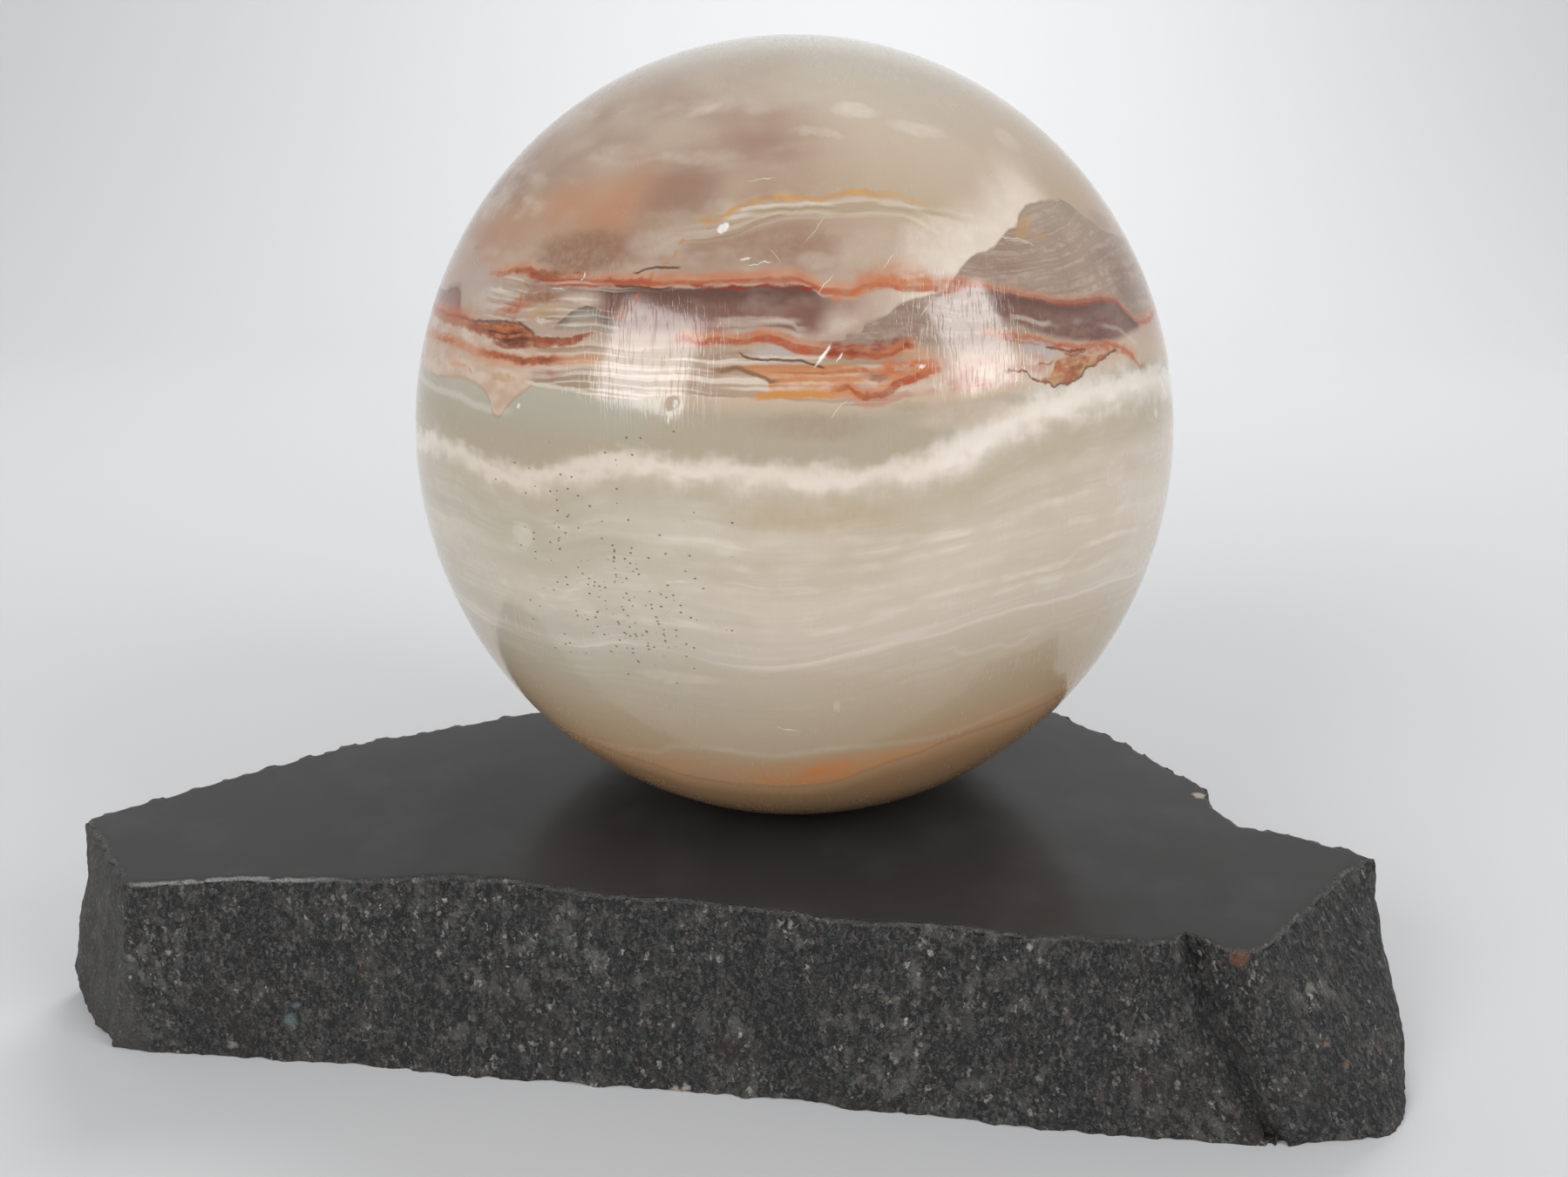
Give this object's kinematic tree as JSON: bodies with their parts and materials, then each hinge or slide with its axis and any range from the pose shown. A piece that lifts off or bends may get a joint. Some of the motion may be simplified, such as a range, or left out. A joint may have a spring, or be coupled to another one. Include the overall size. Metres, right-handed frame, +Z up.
{
  "type": "onyx ball on stone slab",
  "caption": "Polished banded onyx ball resting in a shallow seat on a flat, broken-edged slab of dark stone; a desk or shelf ornament.",
  "frame": {"origin": "on the slab's underside, straight below the ball's centre", "axes": "+X along the slab's length to the right as seen from its straight front edge, +Y to the back, +Z up"},
  "size_m": [0.1625, 0.0906, 0.1134],
  "materials": {
    "banded_onyx": "polished, slightly translucent banded stone",
    "dark_stone": "honed top, rough broken edges"
  },
  "bodies": {
    "root": {"onyx_ball": "banded_onyx", "stone_slab": "dark_stone"}
  },
  "joints": []
}
